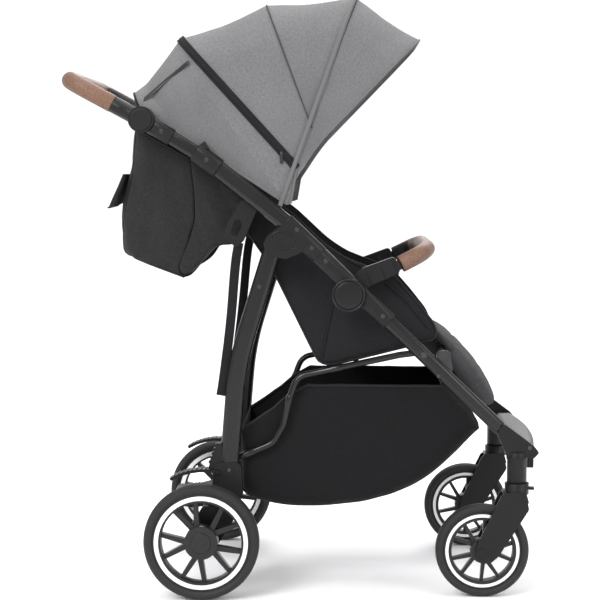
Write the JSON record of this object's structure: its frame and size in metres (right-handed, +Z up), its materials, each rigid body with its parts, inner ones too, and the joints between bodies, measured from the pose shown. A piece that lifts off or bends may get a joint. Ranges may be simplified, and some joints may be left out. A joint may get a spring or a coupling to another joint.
{
  "type": "pushchair",
  "caption": "Folding four-wheel pushchair with swivel front wheels, reclining seat, extendable hood, bumper bar, leg rest and shopping basket.",
  "frame": {"origin": "on the floor, below the middle of the whole object", "axes": "+X forward, +Y to the child's left, +Z up"},
  "size_m": [0.957, 0.6012, 1.197],
  "materials": {
    "frame_metal": "satin black powder coat",
    "frame_plastic": "matte black moulding",
    "dark_steel": "dark plated steel",
    "tyre": "matte foam rubber",
    "wheel_rim": "matte black moulding",
    "wheel_ring": "silver ring",
    "handle_cover": "brown stitched cover",
    "hood_fabric": "woven grey melange",
    "seat_fabric": "woven black",
    "bag_fabric": "woven black",
    "seat_board": "textured board"
  },
  "bodies": {
    "rear_frame": {"rear_leg_left": "frame_metal", "rear_leg_right": "frame_metal", "rear_axle_beam": "frame_metal", "rear_axle_housings": "frame_plastic", "rear_frame_pins": "dark_steel", "basket": "bag_fabric"},
    "brake_pedal": {"brake_pedal": "frame_plastic"},
    "rear_wheel_left": {"rear_left_tyre": "tyre", "rear_left_rim": "wheel_rim", "rear_left_trim_ring": "wheel_ring"},
    "rear_wheel_right": {"rear_right_tyre": "tyre", "rear_right_rim": "wheel_rim", "rear_right_trim_ring": "wheel_ring"},
    "upper_frame": {"upper_tube_left": "frame_metal", "upper_tube_right": "frame_metal", "frame_brackets": "frame_plastic", "knee_hubs_upper": "frame_plastic", "tube_fittings": "frame_plastic", "recline_guides": "frame_plastic", "upper_screws": "dark_steel", "rear_pocket": "bag_fabric"},
    "handlebar": {"handle_tube": "frame_metal", "handle_grip": "handle_cover", "handle_joints": "frame_plastic"},
    "handle_button_left": {"handle_button_left": "frame_plastic"},
    "handle_button_right": {"handle_button_right": "frame_plastic"},
    "hood_rear": {"hood_bow_rear": "frame_metal"},
    "hood_middle": {"hood_bow_middle": "frame_metal"},
    "hood_front": {"hood_bow_front": "frame_metal", "hood_canopy": "hood_fabric"},
    "front_frame": {"knee_hubs_lower": "frame_plastic", "front_leg_left": "frame_metal", "front_leg_right": "frame_metal", "caster_housings": "frame_plastic", "front_step": "frame_plastic", "front_hardware": "dark_steel", "seat_base_board": "seat_board", "seat_base_pad": "seat_fabric", "seat_side_panels": "seat_fabric", "harness_buckle": "frame_plastic"},
    "buckle_button": {"buckle_button": "frame_plastic"},
    "bumper_bar": {"bumper_arms": "frame_plastic", "bumper_bar": "handle_cover"},
    "bumper_button_left": {"bumper_button_left": "frame_plastic"},
    "bumper_button_right": {"bumper_button_right": "frame_plastic"},
    "seat_mount": {"recline_rod": "dark_steel"},
    "seat_back": {"seat_back_board": "seat_board", "seat_back_pad": "seat_fabric"},
    "leg_rest": {"leg_rest": "seat_fabric"},
    "brace": {"brace_frame": "frame_metal"},
    "caster_left": {"caster_fork_left": "frame_plastic"},
    "caster_right": {"caster_fork_right": "frame_plastic"},
    "swivel_lock_left": {"swivel_lock_left": "frame_plastic"},
    "swivel_lock_right": {"swivel_lock_right": "frame_plastic"},
    "front_wheel_left": {"front_left_tyre": "tyre", "front_left_rim": "wheel_rim", "front_left_trim_ring": "wheel_ring"},
    "front_wheel_right": {"front_right_tyre": "tyre", "front_right_rim": "wheel_rim", "front_right_trim_ring": "wheel_ring"}
  },
  "joints": [
    {"name": "fold", "type": "hinge", "parent": "rear_frame", "child": "upper_frame", "pos_m": [-0.054, 0, 0.701], "axis": [0, -1, 0], "range_deg": [0, 80], "deforming": ["hood_canopy", "basket", "rear_pocket", "seat_side_panels"]},
    {"name": "front_fold", "type": "hinge", "parent": "upper_frame", "child": "front_frame", "pos_m": [0.094, 0, 0.602], "axis": [0, -1, 0], "range_deg": [-124.7, 0]},
    {"name": "brace_fold", "type": "hinge", "parent": "rear_frame", "child": "brace", "pos_m": [-0.146, 0, 0.26], "axis": [0, -1, 0], "range_deg": [0, 28.3]},
    {"name": "seat_fold", "type": "hinge", "parent": "front_frame", "child": "seat_mount", "pos_m": [0.06, 0, 0.458], "axis": [0, -1, 0], "range_deg": [0, 141.7]},
    {"name": "recline", "type": "hinge", "parent": "seat_mount", "child": "seat_back", "pos_m": [0.06, 0, 0.458], "axis": [0, 1, 0], "range_deg": [-28, 0]},
    {"name": "leg_rest_tilt", "type": "hinge", "parent": "front_frame", "child": "leg_rest", "pos_m": [0.282, 0, 0.481], "axis": [0, 1, 0], "range_deg": [-55, 0]},
    {"name": "handle_tilt", "type": "hinge", "parent": "upper_frame", "child": "handlebar", "pos_m": [-0.314, 0, 0.947], "axis": [0, 1, 0], "range_deg": [-45, 30]},
    {"name": "handle_button_left_press", "type": "slide", "parent": "handlebar", "child": "handle_button_left", "axis": [0, -1, 0], "range_m": [0, 0.003], "stiffness_N_per_m": 900},
    {"name": "handle_button_right_press", "type": "slide", "parent": "handlebar", "child": "handle_button_right", "axis": [0, 1, 0], "range_m": [0, 0.003], "stiffness_N_per_m": 900},
    {"name": "bumper_tilt", "type": "hinge", "parent": "front_frame", "child": "bumper_bar", "pos_m": [0.094, 0, 0.602], "axis": [0, 1, 0], "range_deg": [-70, 0]},
    {"name": "bumper_button_left_press", "type": "slide", "parent": "bumper_bar", "child": "bumper_button_left", "axis": [0, 1, 0], "range_m": [0, 0.002], "stiffness_N_per_m": 900},
    {"name": "bumper_button_right_press", "type": "slide", "parent": "bumper_bar", "child": "bumper_button_right", "axis": [0, -1, 0], "range_m": [0, 0.002], "stiffness_N_per_m": 900},
    {"name": "hood_rear_fold", "type": "hinge", "parent": "upper_frame", "child": "hood_rear", "pos_m": [-0.04789, 0, 0.76122], "axis": [0, -1, 0], "range_deg": [0, 24]},
    {"name": "hood_middle_fold", "type": "hinge", "parent": "hood_rear", "child": "hood_middle", "pos_m": [-0.04789, 0, 0.76122], "axis": [0, -1, 0], "range_deg": [0, 22.05]},
    {"name": "hood_front_fold", "type": "hinge", "parent": "hood_middle", "child": "hood_front", "pos_m": [-0.04789, 0, 0.76122], "axis": [0, -1, 0], "range_deg": [0, 19.05]},
    {"name": "brake_press", "type": "hinge", "parent": "rear_frame", "child": "brake_pedal", "pos_m": [-0.165, 0, 0.163], "axis": [0, -1, 0], "range_deg": [0, 15]},
    {"name": "buckle_press", "type": "slide", "parent": "front_frame", "child": "buckle_button", "axis": [0.2563, 0, -0.9666], "range_m": [0, 0.0015], "stiffness_N_per_m": 900},
    {"name": "rear_wheel_left_spin", "type": "hinge", "parent": "rear_frame", "child": "rear_wheel_left", "pos_m": [-0.196, 0.28, 0.115], "axis": [0, 1, 0], "continuous": true},
    {"name": "caster_left_swivel", "type": "hinge", "parent": "front_frame", "child": "caster_left", "pos_m": [0.429, 0.239, 0.22], "axis": [0, 0, 1], "continuous": true},
    {"name": "front_wheel_left_spin", "type": "hinge", "parent": "caster_left", "child": "front_wheel_left", "pos_m": [0.361, 0.239, 0.093], "axis": [0, 1, 0], "continuous": true},
    {"name": "swivel_lock_left_press", "type": "slide", "parent": "caster_left", "child": "swivel_lock_left", "axis": [0, 0, -1], "range_m": [0, 0.003]},
    {"name": "rear_wheel_right_spin", "type": "hinge", "parent": "rear_frame", "child": "rear_wheel_right", "pos_m": [-0.196, -0.28, 0.115], "axis": [0, 1, 0], "continuous": true},
    {"name": "caster_right_swivel", "type": "hinge", "parent": "front_frame", "child": "caster_right", "pos_m": [0.429, -0.239, 0.22], "axis": [0, 0, 1], "continuous": true},
    {"name": "front_wheel_right_spin", "type": "hinge", "parent": "caster_right", "child": "front_wheel_right", "pos_m": [0.361, -0.239, 0.093], "axis": [0, 1, 0], "continuous": true},
    {"name": "swivel_lock_right_press", "type": "slide", "parent": "caster_right", "child": "swivel_lock_right", "axis": [0, 0, -1], "range_m": [0, 0.003]}
  ],
  "couplings": [
    {"joint": "front_fold", "follows": "fold", "ratio": -1.5575},
    {"joint": "brace_fold", "follows": "fold", "ratio": 0.3525},
    {"joint": "seat_fold", "follows": "fold", "ratio": 1.77},
    {"joint": "hood_middle_fold", "follows": "hood_rear_fold", "ratio": 0.91667},
    {"joint": "hood_front_fold", "follows": "hood_rear_fold", "ratio": 0.79167}
  ]
}
